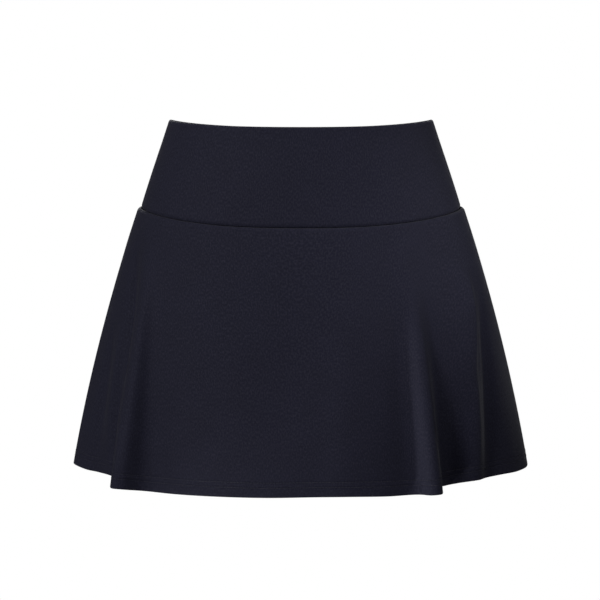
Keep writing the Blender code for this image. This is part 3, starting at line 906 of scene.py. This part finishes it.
def soft_light(name, azimuth, elevation, watts, size):
    """Wide round light that is aimed at the middle of the garment."""
    data = bpy.data.lights.new(name, "AREA")
    data.shape = "DISK"
    data.size = size
    data.energy = watts
    aimed_lamp(name, data, azimuth, elevation, LIGHT_DISTANCE, MIDDLE)


def narrow_light(name, azimuth, elevation, watts, cone, aim, distance, size):
    """Narrow soft-edged light that is aimed at one place."""
    data = bpy.data.lights.new(name, "SPOT")
    data.energy = watts
    data.spot_size = radians(cone)
    data.spot_blend = 1.0
    data.shadow_soft_size = size
    aimed_lamp(name, data, azimuth, elevation, distance, aim)


# The cloth and thread
group = knit_group()
skirt_knit = knit("navy_skirt_knit", group, YARN, FILAMENT, heather=0.45)
band_knit = knit("navy_waistband_knit", group, YARN, FILAMENT, heather=0.45, relief=0.35)
shorts_knit = knit("navy_shorts_knit", group, YARN, FILAMENT, heather=0.3, relief=0.3)
sewing_thread = thread("navy_sewing_thread", THREAD)
stitch_row = stitch_tree()

stitch_sizes = {
    "stitch_pitch": STITCH_PITCH * MM,
    "stitch_length": STITCH_LENGTH * MM,
    "thread_radius": THREAD_RADIUS * MM,
}

back_first, back_last = SIDE_SEAM, 360.0 - SIDE_SEAM
for name, first, last in (
    ("waistband_front", -SIDE_SEAM, SIDE_SEAM),
    ("waistband_back", back_first, back_last),
):
    piece, cut = make_band(name + "_knit", first, last, BAND_CREASES)
    piece.data.materials.append(band_knit)
    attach(piece, "root")
    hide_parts(name)

for name, first, last, centres in (
    # centres: angle, width and gain of the places where the columns are closer together
    ("skirt_front", -SIDE_SEAM, SIDE_SEAM, [(-62.0, 9.0, 1.0), (40.0, 9.0, 1.2)]),
    ("skirt_back", back_first, back_last, []),
):
    piece, cut, paths = make_skirt(name + "_knit", first, last, SKIRT_CREASES, centres)
    piece.data.materials.append(skirt_knit)
    hem = stitched(name + "_hem_stitching", paths, stitch_row, sewing_thread, **stitch_sizes)
    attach(piece, "root")
    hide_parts(name)
    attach(hem, "root")

for name, side in (("shorts_right", 1), ("shorts_left", -1)):
    piece, cut, paths = make_shorts(name + "_knit", side)
    piece.data.materials.append(shorts_knit)
    hem = stitched(name + "_hem_stitching", paths, stitch_row, sewing_thread, **stitch_sizes)
    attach(piece, "root")
    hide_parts(name)
    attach(hem, "root")

# Studio: a plain pale floor well below the garment, a white surround and soft lights
FLOOR_HEIGHT = -1.1
FLOOR_REACH = 30.0
corners = [(-1, -1), (1, -1), (1, 1), (-1, 1)]
floor_mesh = bpy.data.meshes.new("floor")
floor_mesh.from_pydata(
    [(x * FLOOR_REACH, y * FLOOR_REACH, FLOOR_HEIGHT) for x, y in corners], [], [(0, 1, 2, 3)]
)
floor = bpy.data.objects.new("floor", floor_mesh)
bpy.context.scene.collection.objects.link(floor)


def pale(tree, white_kind, dark_shader, output):
    """White where it is looked at, and the given shader where it lights the object."""
    rays = node(tree, "ShaderNodeLightPath", (0, 0))
    white = node(tree, white_kind, (0, 2), {"Color": (1, 1, 1, 1), "Strength": 1.0})
    mixed = node(
        tree, "ShaderNodeMixShader", (2, 0),
        {0: rays.outputs["Is Camera Ray"], 1: dark_shader, 2: white.outputs[0]},
    )
    tree.links.new(mixed.outputs[0], tree.nodes[output].inputs[0])


world = bpy.data.worlds.new("Studio")
bpy.context.scene.world = world
world.use_nodes = True
surround = world.node_tree.nodes["Background"]
surround.inputs["Color"].default_value = (1, 1, 1, 1)
surround.inputs["Strength"].default_value = 0.03
pale(world.node_tree, "ShaderNodeBackground", surround.outputs[0], "World Output")

floor_paint = bpy.data.materials.new("pale_floor")
floor_paint.use_nodes = True
matte = floor_paint.node_tree.nodes["Principled BSDF"]
matte.inputs["Base Color"].default_value = (0.12, 0.12, 0.12, 1)
matte.inputs["Roughness"].default_value = 0.9
pale(floor_paint.node_tree, "ShaderNodeEmission", matte.outputs[0], "Material Output")
floor.data.materials.append(floor_paint)

for light in (
    # name, azimuth, elevation, watts, size
    ("front_left", -32, 25, 21.2, 0.6),
    ("left", -70, 2, 8, 1.0),
    ("low_front", -25, -15, 2.5, 1.0),
    ("right", 48, 22, 5.5, 1.0),
    ("top_right", 42, 62, 7, 0.8),
    ("back", -174, 28, 22, 1.0),
    ("back_right", 158, 5, 4, 1.0),
):
    soft_light(*light)
for light in (
    # name, azimuth, elevation, watts, cone, aim, distance, size
    ("hip_front", 33, 10, 19, 16, (0.148, -0.07, -0.12), 1.2, 0.1),
    ("hip_side", 85, 10, 8, 16, (0.14, -0.07, -0.08), 1.2, 0.1),
    ("waist_opening", 0, 89, 34, 11, (0, 0.01, -0.2), 1.6, 0.12),
    ("low_right", 134, 0, 7, 9, (0.215, 0.04, -0.29), 1.4, 0.05),
    ("low_left", -72, -35, 48, 12, (0.118, -0.13, -0.285), 1.4, 0.05),
):
    narrow_light(*light)

camera_data = bpy.data.cameras.new("Camera")
camera_data.lens = 90
camera_data.sensor_width = 36
camera = bpy.data.objects.new("Camera", camera_data)
distance = 1.5
pitch = radians(7.6)
camera.location = (-0.001, -distance * cos(pitch), -0.18 + distance * sin(pitch))
camera.rotation_euler = (radians(90) - pitch, 0, 0)
bpy.context.scene.collection.objects.link(camera)
bpy.context.scene.camera = camera

bpy.context.scene.view_settings.view_transform = "Standard"
